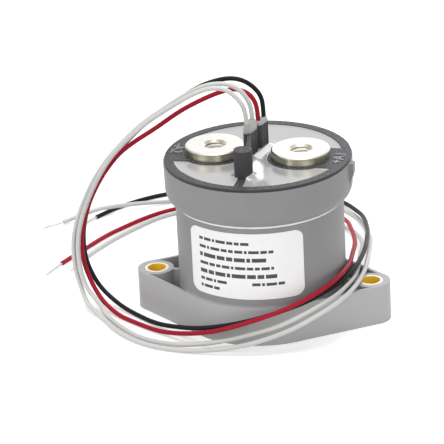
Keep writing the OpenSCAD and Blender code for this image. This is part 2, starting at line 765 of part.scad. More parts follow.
module arc_chamber() {
  inner_l = chamber_l - 2 * chamber_wall;
  inner_w = chamber_w - 2 * chamber_wall;
  wall_h = chamber_top_z - chamber_z;
  color([0.9, 0.88, 0.82]) difference() {
    translate([-chamber_l / 2, -chamber_w / 2, chamber_z]) cube([chamber_l, chamber_w, wall_h]);
    translate([-inner_l / 2, -inner_w / 2, chamber_z + chamber_wall]) cube([inner_l, inner_w, wall_h]);
    disc_solid(shaft_r + loose_gap, chamber_z - cut, chamber_top_z);
  }
}

module magnet() {
  color([0.35, 0.35, 0.37]) translate([-magnet_l / 2, magnet_y, magnet_z]) cube([magnet_l, magnet_t, magnet_h]);
}

module magnet_front() {
  mirror([0, 1, 0]) magnet();
}

module magnet_rear() {
  magnet();
}

module circuit_board() {
  color([0.1, 0.35, 0.2]) translate([-board_w / 2, board_y, board_z]) cube([board_w, board_t, board_h]);
}

module board_capacitor() {
  color([0.15, 0.15, 0.2])
    translate([-board_w / 4, board_face_y + capacitor_d / 2, board_z + (board_h - capacitor_h) / 2])
      cylinder(d = capacitor_d, h = capacitor_h);
}

module board_transistor() {
  color([0.1, 0.1, 0.1])
    translate([-transistor_w / 2, board_face_y, board_z + (board_h - transistor_w) / 2])
      cube([transistor_w, transistor_t, transistor_w]);
}

module board_inductor() {
  color([0.25, 0.25, 0.25])
    translate([board_w / 4, board_face_y, board_z + board_h / 2])
      rotate([-90, 0, 0]) cylinder(d = inductor_d, h = inductor_t);
}

module auxiliary_switch() {
  color([0.12, 0.12, 0.13])
    translate([-switch_l / 2, -magnet_y - magnet_t - loose_gap - switch_t, switch_z])
      cube([switch_l, switch_t, switch_h]);
}

module fill_tube() {
  color([0.77, 0.47, 0.28])
    translate([0, -post_reach, 0]) ring_solid(tube_r, tube_r - tube_wall, tube_z, tube_top_z);
}

module lead_black() {
  color([0.08, 0.08, 0.08]) swept_tube(smooth(route_black), lead_r, tube_sides);
}

module lead_red() {
  color([0.6, 0.08, 0.12]) swept_tube(smooth(route_red), lead_r, tube_sides);
}

module lead_white_1() {
  color([0.9, 0.9, 0.88]) swept_tube(smooth(route_white_1), lead_r, tube_sides);
}

module lead_white_2() {
  color([0.9, 0.9, 0.88]) swept_tube(smooth(route_white_2), lead_r, tube_sides);
}

// Stripped strands from the end of the insulation
module strands(path, end) {
  start = path[len(path) - 1];
  out = heading(path, len(path) - 1);
  color([0.75, 0.75, 0.74]) swept_tube([start, start + out * strand_d, end], strand_d / 2, tube_sides);
}

module tip_black() {
  strands(smooth(route_black), end_black);
}

module tip_red() {
  strands(smooth(route_red), end_red);
}

module tip_white_1() {
  strands(smooth(route_white_1), end_white_1);
}

module tip_white_2() {
  strands(smooth(route_white_2), end_white_2);
}

housing();
bush_left();
bush_right();
header();
potting();
rating_label();
terminal_a1();
terminal_a2();
fixed_tip_a1();
fixed_tip_a2();
yoke_can();
guide_sleeve();
bobbin();
coil_winding();
pole_plate();
pole_piece();
plunger();
shaft();
return_spring();
spring_seat();
contact_spring();
contact_bridge();
bridge_tips();
retaining_clip();
arc_chamber();
magnet_front();
magnet_rear();
circuit_board();
board_capacitor();
board_transistor();
board_inductor();
auxiliary_switch();
fill_tube();
lead_black();
lead_red();
lead_white_1();
lead_white_2();
tip_black();
tip_red();
tip_white_1();
tip_white_2();
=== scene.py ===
"""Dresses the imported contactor: finishes, poured resin, marks, label print and the four flying leads."""

import logging
import math
from dataclasses import dataclass, field
from enum import Enum
from functools import cache
from itertools import count
from typing import ClassVar

import bmesh
import bpy
from mathutils import Matrix, Vector


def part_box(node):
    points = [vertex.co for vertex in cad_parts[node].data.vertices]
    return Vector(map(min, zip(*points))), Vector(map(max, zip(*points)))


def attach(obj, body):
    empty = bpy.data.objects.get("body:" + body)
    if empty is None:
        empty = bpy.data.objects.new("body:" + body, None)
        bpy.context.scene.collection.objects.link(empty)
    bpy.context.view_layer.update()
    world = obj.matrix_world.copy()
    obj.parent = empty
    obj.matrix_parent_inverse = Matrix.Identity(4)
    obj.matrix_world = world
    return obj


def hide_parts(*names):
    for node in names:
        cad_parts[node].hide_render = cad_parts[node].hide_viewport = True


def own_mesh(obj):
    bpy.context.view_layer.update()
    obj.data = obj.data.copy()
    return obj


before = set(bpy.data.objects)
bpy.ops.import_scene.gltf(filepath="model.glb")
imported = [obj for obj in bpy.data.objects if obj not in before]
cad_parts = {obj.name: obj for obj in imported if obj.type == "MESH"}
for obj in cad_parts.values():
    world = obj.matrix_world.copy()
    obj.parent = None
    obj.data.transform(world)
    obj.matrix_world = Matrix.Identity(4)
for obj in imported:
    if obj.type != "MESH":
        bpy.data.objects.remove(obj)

LOG = logging.getLogger("contactor")
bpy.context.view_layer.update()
MM = 0.001
BODY = "frame"
UP = Vector((0, 0, 1))
Socket = bpy.types.NodeSocket
Mesh = bmesh.types.BMesh
Color = tuple[float, float, float]
Point = tuple[float, float, float]
Plan = tuple[float, float]


class Grain(Enum):
    """Kinds of surface grain that a finish can have."""

    MOULDED = "moulded"
    CAST = "cast"
    TURNED = "turned"
    WOUND = "wound"
    DRAWN = "drawn"


class Graph:
    """Short way to build the node tree of a material or of the surround."""

    # A mix node has sockets for each type of value; these are the places of those for colour.
    mix_inputs: ClassVar[tuple[int, int]] = (6, 7)
    mix_output: ClassVar[int] = 2
    bevel_samples: ClassVar[int] = 6

    def __init__(self, owner: bpy.types.Material | bpy.types.World) -> None:
        """Starts an empty tree.

        Args:
            owner: Material or world that the tree belongs to.
        """
        owner.use_nodes = True
        self.tree = owner.node_tree
        self.tree.nodes.clear()

    def add(self, kind: str, **settings: object) -> bpy.types.Node:
        """Adds a node.

        Args:
            kind: Node type name.
            **settings: Node properties to set.

        Returns:
            The new node.
        """
        node = self.tree.nodes.new(kind)
        for key, value in settings.items():
            setattr(node, key, value)
        return node

    def link(self, source: Socket, target: Socket) -> None:
        """Joins an output socket to an input socket."""
        self.tree.links.new(source, target)

    def place(self) -> Socket:
        """Returns the object coordinates, in metres."""
        return self.add("ShaderNodeTexCoord").outputs["Object"]

    def upward(self, source: Socket) -> Socket:
        """Splits off the upward part of a vector.

        Args:
            source: Vector socket.

        Returns:
            The socket of its Z part.
        """
        split = self.add("ShaderNodeSeparateXYZ")
        self.link(source, split.inputs["Vector"])
        return split.outputs["Z"]

    def noise(self, size: float, detail: float = 3.0, stretch: Point | None = None) -> Socket:
        """Adds a noise field.

        Args:
            size: Grain size in metres.
            detail: Number of finer layers.
            stretch: Scale of the coordinates along each axis.

        Returns:
            The noise value socket.
        """
        texture = self.add("ShaderNodeTexNoise")
        texture.inputs["Scale"].default_value = 1.0 / size
        texture.inputs["Detail"].default_value = detail
        source = self.place()
        if stretch is not None:
            mapping = self.add("ShaderNodeMapping")
            mapping.inputs["Scale"].default_value = stretch
            self.link(source, mapping.inputs["Vector"])
            source = mapping.outputs["Vector"]
        self.link(source, texture.inputs["Vector"])
        return texture.outputs[0]

    def ramp(self, source: Socket, ends: Plan, low: Color, high: Color) -> Socket:
        """Turns a value into a colour.

        Args:
            source: Value socket.
            ends: Values that give the low and the high colour.
            low: Low colour.
            high: High colour.

        Returns:
            The colour socket.
        """
        node = self.add("ShaderNodeValToRGB")
        for element, position, color in zip(node.color_ramp.elements, ends, (low, high)):
            element.position = position
            element.color = (*color, 1.0)
        self.link(source, node.inputs["Fac"])
        return node.outputs["Color"]

    def span(self, source: Socket, low: float, high: float, start: float = 0.0, stop: float = 1.0) -> Socket:
        """Maps a value from one span to another.

        Args:
            source: Value socket.
            low: Result at the start.
            high: Result at the stop.
            start: Value that gives the low result.
            stop: Value that gives the high result.

        Returns:
            The mapped value socket.
        """
        node = self.add("ShaderNodeMapRange")
        node.inputs["From Min"].default_value = start
        node.inputs["From Max"].default_value = stop
        node.inputs["To Min"].default_value = low
        node.inputs["To Max"].default_value = high
        self.link(source, node.inputs["Value"])
        return node.outputs["Result"]

    def mix(self, share: Socket, low: Socket | Color, high: Socket | Color) -> Socket:
        """Mixes two colours by a share.

        Args:
            share: Share of the second colour.
            low: First colour, or its socket.
            high: Second colour, or its socket.

        Returns:
            The mixed colour socket.
        """
        node = self.add("ShaderNodeMix", data_type="RGBA", blend_type="MIX")
        self.link(share, node.inputs["Factor"])
        for index, color in zip(self.mix_inputs, (low, high)):
            if isinstance(color, tuple):
                node.inputs[index].default_value = (*color, 1.0)
            else:
                self.link(color, node.inputs[index])
        return node.outputs[self.mix_output]

    def relief(self, height: Socket, depth: float, edge: float) -> Socket:
        """Builds a bumped normal with softened edges.

        Args:
            height: Height value socket.
            depth: Height of the bumps in metres.
            edge: Radius of the softened edges in metres.

        Returns:
            The normal socket.
        """
        bump = self.add("ShaderNodeBump")
        bump.inputs["Strength"].default_value = 1.0
        bump.inputs["Distance"].default_value = depth
        self.link(height, bump.inputs["Height"])
        if edge > 0:
            bevel = self.add("ShaderNodeBevel", samples=self.bevel_samples)
            bevel.inputs["Radius"].default_value = edge
            self.link(bevel.outputs["Normal"], bump.inputs["Normal"])
        return bump.outputs["Normal"]


# Detail and stretch of the noise that makes each kind of grain, apart from a winding's.
GRAIN_NOISE: dict[Grain, tuple[float, Point | None]] = {
    Grain.MOULDED: (4.0, None),
    Grain.CAST: (1.0, None),
    Grain.TURNED: (2.0, (0.15, 0.15, 4.0)),
    Grain.DRAWN: (2.0, (1.0, 1.0, 0.1)),
}


@dataclass(frozen=True)
class Finish:
    """Look of one material, with its grain at real scale; sizes are in millimetres."""

    name: str
    color: Color
    roughness: float
    grain: Grain = Grain.MOULDED
    metallic: float = 0.0
    grain_size: float = 0.35
    depth: float = 0.012
    mottle: float = 0.08
    specks: float = 0.0
    edge: float = 0.0
    coat: float = 0.0
    specular: float = 0.5
    # Colour of side faces where it differs from top faces; this split paints light on tops and sides.
    painted_light_side_color: Color | None = None
    foot_color: Color | None = None
    foot_z: float = 0.0
    top_from: float = 0.3
    top_full: float = 0.75
    patch_grains: ClassVar[float] = 24
    patch_ends: ClassVar[Plan] = (0.3, 0.7)
    speck_grains: ClassVar[float] = 2.4
    speck_ends: ClassVar[Plan] = (0.47, 0.7)
    sheen_grains: ClassVar[float] = 6
    sheen_spread: ClassVar[float] = 0.15
    foot_fade: ClassVar[Plan] = (-0.2, 1.2)
    coat_roughness: ClassVar[float] = 0.12
    wound_scale: ClassVar[float] = 0.05
    wound_wander: ClassVar[float] = 0.4

    def tone(self, gain: float) -> Color:
        """Returns the colour made lighter or darker by a gain."""
        return tuple(min(1.0, channel * gain) for channel in self.color)

    def height_field(self, graph: Graph) -> Socket:
        """Builds the grain's height for this kind of surface.

        Args:
            graph: Graph of the material.

        Returns:
            The height socket.
        """
        if self.grain is not Grain.WOUND:
            return graph.noise(self.grain_size * MM, *GRAIN_NOISE[self.grain])
        wave = graph.add("ShaderNodeTexWave", wave_type="BANDS", bands_direction="Z")
        wave.inputs["Scale"].default_value = self.wound_scale / (self.grain_size * MM)
        wave.inputs["Distortion"].default_value = self.wound_wander
        graph.link(graph.place(), wave.inputs["Vector"])
        return wave.outputs["Fac"]

    def facing_up(self, graph: Graph) -> Socket:
        """Returns a share that is 1 on top faces and 0 on side faces."""
        normal = graph.add("ShaderNodeTexCoord").outputs["Normal"]
        return graph.span(graph.upward(normal), 0.0, 1.0, self.top_from, self.top_full)

    def color_socket(self, graph: Graph) -> Socket:
        """Builds the mottled colour, with specks, a side colour that paints light (lit tops, shaded sides) or a
        foot colour where the finish has them.

        Args:
            graph: Graph of the material.

        Returns:
            The colour socket.
        """
        patches = graph.noise(self.patch_grains * self.grain_size * MM)
        color = graph.ramp(patches, self.patch_ends, self.tone(1 - self.mottle), self.tone(1 + self.mottle))
        if self.specks > 0:
            dots = graph.noise(self.speck_grains * self.grain_size * MM)
            share = graph.span(dots, 0.0, 1.0, *self.speck_ends)
            speckled = graph.mix(share, color, self.tone(1 + self.specks))
            color = graph.mix(self.facing_up(graph), color, speckled)
        # Painted light: top faces keep the main colour and side faces take the side colour.
        if self.painted_light_side_color is not None:
            color = graph.mix(self.facing_up(graph), self.painted_light_side_color, color)
        if self.foot_color is not None:
            start, stop = ((self.foot_z + fade) * MM for fade in self.foot_fade)
            share = graph.span(graph.upward(graph.place()), 0.0, 1.0, start, stop)
            color = graph.mix(share, self.foot_color, color)
        return color

    @cache
    def material(self) -> bpy.types.Material:
        """Builds the material, once for each finish.

        Returns:
            The material with this finish.
        """
        material = bpy.data.materials.new(self.name)
        graph = Graph(material)
        shader = graph.add("ShaderNodeBsdfPrincipled")
        graph.link(shader.outputs["BSDF"], graph.add("ShaderNodeOutputMaterial").inputs["Surface"])
        shader.inputs["Metallic"].default_value = self.metallic
        shader.inputs["Specular IOR Level"].default_value = self.specular
        shader.inputs["Coat Weight"].default_value = self.coat
        shader.inputs["Coat Roughness"].default_value = self.coat_roughness
        sheen = graph.noise(self.sheen_grains * self.grain_size * MM)
        ends = (self.roughness * (1 - self.sheen_spread), self.roughness * (1 + self.sheen_spread))
        normal = graph.relief(self.height_field(graph), self.depth * MM, self.edge * MM)
        graph.link(self.color_socket(graph), shader.inputs["Base Color"])
        graph.link(graph.span(sheen, *ends), shader.inputs["Roughness"])
        graph.link(normal, shader.inputs["Normal"])
        return material


GREY_MOULDING = Finish(
    "grey_moulding", (0.255, 0.255, 0.257), 0.5, grain_size=0.4, mottle=0.03, edge=0.35,
    foot_color=(0.47, 0.47, 0.472), foot_z=14.6,
)
# Near-white bead under the collar: a painted highlight of the collar's lower edge.
SEAM_HIGHLIGHT = Finish("seam_painted_highlight", (0.95, 0.95, 0.94), 0.35, Grain.CAST, grain_size=1.2, depth=0.03)
BLACK_MOULDING = Finish(
    "black_moulding", (0.038, 0.039, 0.043), 0.5, depth=0.015, mottle=0.15, specks=2.2,
    edge=0.25, specular=0.35,
)
RESIN = Finish(
    "potting_resin", (0.4, 0.4, 0.4), 0.2, Grain.CAST, grain_size=7, depth=0.12, mottle=0.03, coat=1.0
)
# The pale top colour is the plating; the olive side colour is painted shade on the side faces and hole walls.
PLATED = Finish(
    "plated_copper", (0.92, 0.91, 0.88), 0.3, Grain.TURNED, metallic=1.0, grain_size=0.5, depth=0.004,
    mottle=0.03, edge=0.2, painted_light_side_color=(0.43, 0.41, 0.31), top_from=0.55, top_full=0.95,
)
THREAD = Finish(
    "thread_plating", (0.96, 0.93, 0.84), 0.35, Grain.TURNED, metallic=0.2, grain_size=0.5, depth=0.004,
    mottle=0.04,
)
# The pale colour on top faces is a painted reflection; the yellow side colour is the brass.
BRASS = Finish(
    "bush_brass", (0.97, 0.93, 0.82), 0.3, Grain.TURNED, metallic=0.1, grain_size=0.5, depth=0.005,
    mottle=0.03, edge=0.15, painted_light_side_color=(1.0, 0.72, 0.06),
)
FILM = Finish("label_film", (0.95, 0.95, 0.95), 0.42, grain_size=0.3, depth=0.003, mottle=0.015)
PRINT = Finish("label_print", (0.05, 0.05, 0.055), 0.5, grain_size=0.2, depth=0.001, mottle=0.2)
INSULATION_BLACK = Finish(
    "insulation_black", (0.01, 0.01, 0.012), 0.45, Grain.CAST, grain_size=1.2, depth=0.01, mottle=0.15,
    specular=0.15,
)
INSULATION_RED = Finish(
    "insulation_red", (0.37, 0.009, 0.027), 0.45, Grain.CAST, grain_size=1.2, depth=0.01, mottle=0.08,
    specular=0.15,
)
INSULATION_WHITE = Finish(
    "insulation_white", (0.6, 0.6, 0.585), 0.4, Grain.CAST, grain_size=1.2, depth=0.01, mottle=0.04
)
TINNED = Finish(
    "tinned_copper", (0.62, 0.62, 0.6), 0.32, Grain.DRAWN, metallic=1.0, grain_size=0.3, depth=0.003
)
SEALANT = Finish(
    "lead_sealant", (0.36, 0.37, 0.36), 0.22, Grain.CAST, grain_size=1.0, depth=0.04, mottle=0.15, coat=0.3
)
# The raised letters are black moulding; their light grey is a painted highlight of their lit edges.
MARKS_HIGHLIGHT = Finish("raised_marks_painted_highlight", (0.28, 0.28, 0.29), 0.42, grain_size=0.3, depth=0.01, edge=0.1)
SOFT_IRON = Finish(
    "soft_iron", (0.5, 0.51, 0.52), 0.35, Grain.TURNED, metallic=1.0, grain_size=0.6, depth=0.005
)
SPRING_STEEL = Finish(
    "spring_steel", (0.55, 0.56, 0.57), 0.28, Grain.DRAWN, metallic=1.0, grain_size=0.3, depth=0.003
)
SLEEVE_BRASS = Finish(
    "sleeve_brass", (0.72, 0.56, 0.26), 0.3, Grain.DRAWN, metallic=1.0, grain_size=0.4, depth=0.004
)
BOBBIN_NYLON = Finish("bobbin_nylon", (0.05, 0.09, 0.07), 0.5, grain_size=0.5)
ENAMELLED_COPPER = Finish(
    "enamelled_copper", (0.5, 0.2, 0.08), 0.3, Grain.WOUND, metallic=0.7, grain_size=0.4, depth=0.12
)
BRIDGE_COPPER = Finish(
    "bridge_copper", (0.72, 0.36, 0.2), 0.34, Grain.DRAWN, metallic=1.0, grain_size=0.4, depth=0.004
)
CONTACT_ALLOY = Finish("contact_alloy", (0.7, 0.68, 0.66), 0.4, metallic=1.0, grain_size=0.3, depth=0.006)
CERAMIC = Finish("chamber_ceramic", (0.8, 0.77, 0.7), 0.6, grain_size=0.3, depth=0.008)
FERRITE = Finish("magnet_ferrite", (0.12, 0.12, 0.13), 0.45, grain_size=0.3, depth=0.01)
LAMINATE = Finish("board_laminate", (0.02, 0.14, 0.06), 0.3, grain_size=0.4, depth=0.004)
COMPONENT = Finish("component_black", (0.03, 0.03, 0.035), 0.4, grain_size=0.3, depth=0.006)


def put_finish(piece: bpy.types.Object, finish: Finish) -> None:
    """Puts a finish on a piece in place of its old materials, and reports the piece.

    Args:
        piece: Piece to dress.
        finish: Look that it gets.
    """
    piece.data.materials.clear()
    piece.data.materials.append(finish.material())
    LOG.info("%s has the finish %s", piece.name, finish.name)


def add_object(name: str, data: bpy.types.ID) -> bpy.types.Object:
    """Adds an object to the scene.

    Args:
        name: Name of the object.
        data: Mesh, curve, lamp or camera that it holds.

    Returns:
        The new object.
    """
    item = bpy.data.objects.new(name, data)
    bpy.context.scene.collection.objects.link(item)
    return item


def new_piece(
    name: str, mesh: Mesh, finish: Finish, smooth: bool = True, body: str = BODY
) -> bpy.types.Object:
    """Turns a built mesh into a piece that rides on a body.

    Args:
        name: Name of the piece.
        mesh: Built mesh, in metres; it is freed.
        finish: Look of the piece.
        smooth: Whether the faces are shaded smooth.
        body: Body that the piece moves with.

    Returns:
        The new object.
    """
    bmesh.ops.recalc_face_normals(mesh, faces=mesh.faces)
    data = bpy.data.meshes.new(name)
    mesh.to_mesh(data)
    mesh.free()
    for face in data.polygons:
        face.use_smooth = smooth
    piece = add_object(name, data)
    put_finish(piece, finish)
    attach(piece, body)
    return piece


def smooth_path(points: list[Vector], step: float) -> list[Vector]:
    """Runs a smooth curve through given points.

    Args:
        points: Route points.
        step: Spacing of the samples.

    Returns:
        Points on the curve, both ends included.
    """
    padded = [2 * points[0] - points[1], *points, 2 * points[-1] - points[-2]]
    samples: list[Vector] = []
    for a, b, c, d in zip(padded, padded[1:], padded[2:], padded[3:]):
        before, here, after = ((q - p).length ** 0.5 for p, q in ((a, b), (b, c), (c, d)))
        leave = here * ((b - a) / before - (c - a) / (before + here) + (c - b) / here)
        arrive = here * ((c - b) / here - (d - b) / (here + after) + (d - c) / after)
        pieces = max(2, round((c - b).length / step))
        for i in range(pieces):
            t = i / pieces
            samples.append(
                (2 * t**3 - 3 * t**2 + 1) * b
                + (t**3 - 2 * t**2 + t) * leave
                + (3 * t**2 - 2 * t**3) * c
                + (t**3 - t**2) * arrive
            )
    return [*samples, points[-1].copy()]


def join_rings(mesh: Mesh, rings: list[list[bmesh.types.BMVert]], closed: bool = False) -> None:
    """Joins rings of points into a skin, capped at both ends or closed on itself.

    Args:
        mesh: Mesh that holds the points.
        rings: Rings with as many points each.
        closed: Whether the last ring joins the first.
    """
    pairs = list(zip(rings, rings[1:]))
    if closed:
        pairs.append((rings[-1], rings[0]))
    for low, high in pairs:
        for k in range(len(low)):
            after = (k + 1) % len(low)
            mesh.faces.new((low[k], low[after], high[after], high[k]))
    if not closed:
        mesh.faces.new(rings[0])
        mesh.faces.new(rings[-1])


def add_tube(mesh: Mesh, path: list[Vector], radii: list[float], sides: int) -> None:
    """Adds a capped round tube along a path to a mesh.

    Args:
        mesh: Mesh to add to.
        path: Centreline points.
        radii: Radius at each point.
        sides: Number of sides.
    """
    last = len(path) - 1
    headings = [(path[min(i + 1, last)] - path[max(i - 1, 0)]).normalized() for i in range(len(path))]
    side = headings[0].orthogonal().normalized()
    rings = []
    for point, heading, radius in zip(path, headings, radii):
        side = (side - heading * side.dot(heading)).normalized()
        across = heading.cross(side)
        turns = (2 * math.pi * k / sides for k in range(sides))
        points = (point + radius * (math.cos(t) * side + math.sin(t) * across) for t in turns)
        rings.append([mesh.verts.new(spot) for spot in points])
    join_rings(mesh, rings)


class Assembly:
    """Sub-assembly of the contactor that dresses its own CAD nodes."""

    nodes: ClassVar[dict[str, Finish]] = {}

    def dress(self) -> None:
        """Puts the finishes on the sub-assembly's CAD nodes."""
        for name, finish in self.nodes.items():
            put_finish(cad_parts[name], finish)

    def build(self) -> None:
        """Builds the pieces that the plain CAD nodes lack."""
        raise NotImplementedError


@dataclass
class Lead:
    """One flying lead, from its socket to its stripped end."""

    name: str
    finish: Finish
    end: Point
    route: list[Point] = field(repr=False)
    thick: float = 1.7
    mouth_z: float = 71.0
    sides: int = 20
    step: float = 0.8
    lie_gap: float = 0.05
    strand_thick: float = 0.8
    strands: int = 7
    strands_across: int = 3
    strand_sides: int = 8
    twists: float = 1.6
    tip_sunk: float = 0.4
    tip_straight: float = 1.0
    tip_step: float = 0.25
    tin_from: float = 0.82
    tin_swell: float = 1.15
    tin_taper: float = 0.5
    tin_sides: int = 10

    def path(self) -> list[Vector]:
        """Lays the lead's centreline, never lower than the lead lies.

        Returns:
            Points of the centreline, in metres.
        """
        path = smooth_path([Vector(point) * MM for point in self.route], self.step * MM)
        lowest = (self.thick / 2 + self.lie_gap) * MM
        for point in path:
            point.z = max(point.z, lowest)
        return path

    def build_insulation(self, path: list[Vector]) -> bpy.types.Object:
        """Builds the insulated part of the lead.

        Args:
            path: Centreline points.

        Returns:
            The insulation.
        """
        mesh = bmesh.new()
        add_tube(mesh, path, [self.thick / 2 * MM] * len(path), self.sides)
        piece = new_piece(f"{self.name}_wire", mesh, self.finish)
        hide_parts(self.name)
        return piece

    def build_tip(self, path: list[Vector]) -> bpy.types.Object:
        """Builds the twisted and tinned strands past the insulation.

        Args:
            path: Centreline points of the insulation.

        Returns:
            The strands.
        """
        start = path[-1]
        out = (start - path[-2]).normalized()
        route = [start - out * self.tip_sunk * MM, start + out * self.tip_straight * MM, Vector(self.end) * MM]
        line = smooth_path(route, self.tip_step * MM)
        last = len(line) - 1
        strand_r = self.strand_thick / (2 * self.strands_across) * MM
        ring_r = self.strand_thick / 2 * MM - strand_r
        mesh = bmesh.new()
        for k in range(self.strands):
            reach = ring_r if k else 0.0
            offsets = []
            for i, point in enumerate(line):
                turn = 2 * math.pi * (k / (self.strands - 1) + self.twists * i / len(line))
                heading = (line[min(i + 1, last)] - line[max(i - 1, 0)]).normalized()
                side = heading.cross(UP).normalized()
                up = side.cross(heading)
                offsets.append(point + reach * (math.cos(turn) * side + math.sin(turn) * up))
            add_tube(mesh, offsets, [strand_r] * len(offsets), self.strand_sides)
        tinned = line[int(self.tin_from * len(line)):]
        shares = (self.tin_swell - self.tin_taper * i / len(tinned) for i in range(len(tinned)))
        add_tube(mesh, tinned, [strand_r + ring_r * share for share in shares], self.tin_sides)
        piece = new_piece(f"{self.name}_strands", mesh, TINNED)
        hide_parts(self.name.replace("lead_", "tip_"))
        return piece

    def build(self) -> None:
        path = self.path()
        wire = self.build_insulation(path)
        tip = self.build_tip(path)


LEADS = [
    Lead("lead_black", INSULATION_BLACK, (-88.7, 65.5, 0.7), [
        (0.659, 8.641, 66), (0.659, 8.641, 73), (-0.1, 8.6, 80), (-2.8, 8.1, 84), (-6.8, 7.6, 86.5),
        (-11.9, 7.4, 86.9), (-20, 6.4, 84.7), (-29.8, 6.1, 78.7), (-46.2, 5.5, 65.6), (-59.9, 4.5, 49.2),
        (-67, 3, 32), (-68, 1.5, 22), (-66.5, 0, 14.5), (-62, -2, 7), (-54, -6.5, 2.3), (-44, -13.5, 0.9),
        (-35, -20, 1.4), (-26, -25.5, 3.2), (-16, -31, 6), (-4.5, -33.5, 9.2), (6, -32.5, 12),
        (15, -28.5, 14.2), (22, -23.5, 15.8), (27, -17.5, 17), (30.8, -9.5, 17.7), (33.2, -2, 18.2),
        (34.2, 7, 18.2), (33.8, 20, 17.4), (31, 38, 14), (26.5, 60, 9), (18, 86, 3.5), (3, 105, 0.9),
        (-28, 114, 0.9), (-64, 100, 0.9), (-79, 85, 0.9), (-85.5, 73.5, 0.9),
    ]),
    Lead("lead_red", INSULATION_RED, (-89, 17.5, 0.7), [
        (-0.361, 4.36, 66), (-0.361, 4.36, 73), (-1.2, 4.2, 79.5), (-3.5, 3.9, 82.8), (-7.9, 3.3, 84.5),
        (-13.4, 2.7, 83.4), (-26.1, 1.8, 77.2), (-37.4, 2.2, 69.1), (-52.8, 1.9, 57.4), (-63, 1, 42),
        (-67.5, -1, 27), (-67.2, -2.5, 17), (-64, -4.5, 9), (-59, -8, 3.5), (-51, -14.5, 1.1), (-41, -21, 0.9),
        (-31, -26.5, 1.4), (-18, -32.5, 4.5), (-7, -36, 8.3), (7.5, -35.5, 13.5), (15.5, -32.5, 16.1),
        (22, -27, 18), (27.3, -19.5, 19.4), (30.6, -11.5, 20.3), (31.6, -4, 20.2), (31.7, 3, 19.3),
        (30.5, 14, 18.3), (28.3, 29, 16.2), (23, 48, 13), (16, 67, 8.8), (0, 87, 3.8), (-25, 96, 0.9),
        (-57, 85, 0.9), (-74, 61, 0.9), (-81, 43, 0.9), (-86, 28, 0.9),
    ]),
    Lead("lead_white_1", INSULATION_WHITE, (-80.8, 22.5, 0.7), [
        (-2.4, -4.2, 66), (-2.4, -4.2, 73), (-3.4, -4.3, 80.7), (-6.2, -4.4, 84.7), (-9.7, -4.7, 87.2),
        (-14.2, -4.9, 87.6), (-19.8, -4.7, 85.8), (-30, -4, 79.6), (-41.2, -3.3, 71.4), (-54.9, -2.7, 57.3),
        (-64.5, -3, 39.5), (-68, -4.2, 27), (-67.8, -5.5, 15.5), (-65, -7.5, 8), (-60, -10, 3.5),
        (-55.4, -15.5, 1.1), (-46, -25.5, 0.9), (-37, -32, 0.9), (-22.5, -36, 1.4), (-6.5, -36.5, 4.2),
        (3.5, -35.5, 7), (13.5, -34, 10.2), (20.5, -31, 13), (26.5, -26, 15.2), (30.7, -18.5, 16),
        (33, -9.5, 15.9), (34.2, -1, 15.8), (33.8, 8, 15.8), (32.9, 15, 15.8), (31.4, 25, 13.8),
        (28, 43.5, 9.2), (22.3, 62, 4.5), (14, 77, 1.1), (-4, 88, 0.9), (-28, 91, 0.9), (-56, 81, 0.9),
        (-69, 61, 0.9), (-75.5, 45, 0.9), (-79, 33, 0.9),
    ]),
    Lead("lead_white_2", INSULATION_WHITE, (-104, 60, 0.7), [
        (-1.38, 0.08, 66), (-1.38, 0.08, 73), (-2.2, 0, 80.5), (-5, -0.1, 85), (-8.8, -0.6, 87.5),
        (-13.5, -0.8, 87.8), (-18.6, -0.7, 86.6), (-25.8, -0.3, 82.7), (-34.5, -0.1, 76.7), (-44.2, 0.2, 69.2),
        (-57.9, -0.6, 54.2), (-66.5, -1.5, 38.5), (-70.4, -2.5, 25.5), (-70.2, -3.8, 14.5), (-67.8, -6, 7.5),
        (-64, -10.5, 2.8), (-57.5, -16.5, 1), (-47.5, -28, 0.9), (-38, -35, 0.9), (-28.5, -38.5, 0.9),
        (-16, -39.7, 1.2), (-1.5, -38.7, 3.2), (8.5, -37, 5.8), (18, -33.5, 9), (25, -30, 12.2),
        (31.5, -24, 15), (35, -15.5, 16), (36.5, -5, 15.9), (36.7, 5, 15.9), (36, 14, 15.9), (33.8, 27, 13),
        (30.5, 46, 7.5), (26, 66, 3), (16, 88, 0.9), (0, 100, 0.9), (-28, 106, 0.9), (-61, 92.5, 1.1),
        (-74, 83.5, 2.8), (-84.5, 75.3, 3.7), (-91, 70.5, 2.6), (-97, 66, 1.2),
    ]),
]


@dataclass(frozen=True)
class Housing(Assembly):
    """Grey moulded cup on its base, with brass bushes and a pale bead under the collar that is a painted
    highlight of its lower edge.
    """

    nodes: ClassVar[dict[str, Finish]] = {"housing": GREY_MOULDING, "bush_left": BRASS, "bush_right": BRASS}
    seam_r: float = 30.25
    seam_z: float = 45.75
    seam_thick: float = 0.9
    seam_steps: int = 192
    seam_sides: int = 12

    def build(self) -> None:
        """Builds the thin pale bead in the bevel under the collar, a painted highlight of the collar's lower
        edge.
        """
        mesh = bmesh.new()
        rings = []
        for i in range(self.seam_steps):
            around = 2 * math.pi * i / self.seam_steps
            out = Vector((math.cos(around), math.sin(around), 0))
            ring = []
            for k in range(self.seam_sides):
                turn = 2 * math.pi * k / self.seam_sides
                reach = self.seam_r + self.seam_thick / 2 * math.cos(turn)
                level = self.seam_z + self.seam_thick / 2 * math.sin(turn)
                ring.append(mesh.verts.new((out * reach + Vector((0, 0, level))) * MM))
            rings.append(ring)
        join_rings(mesh, rings, closed=True)
        new_piece("collar_seam_highlight", mesh, SEAM_HIGHLIGHT)


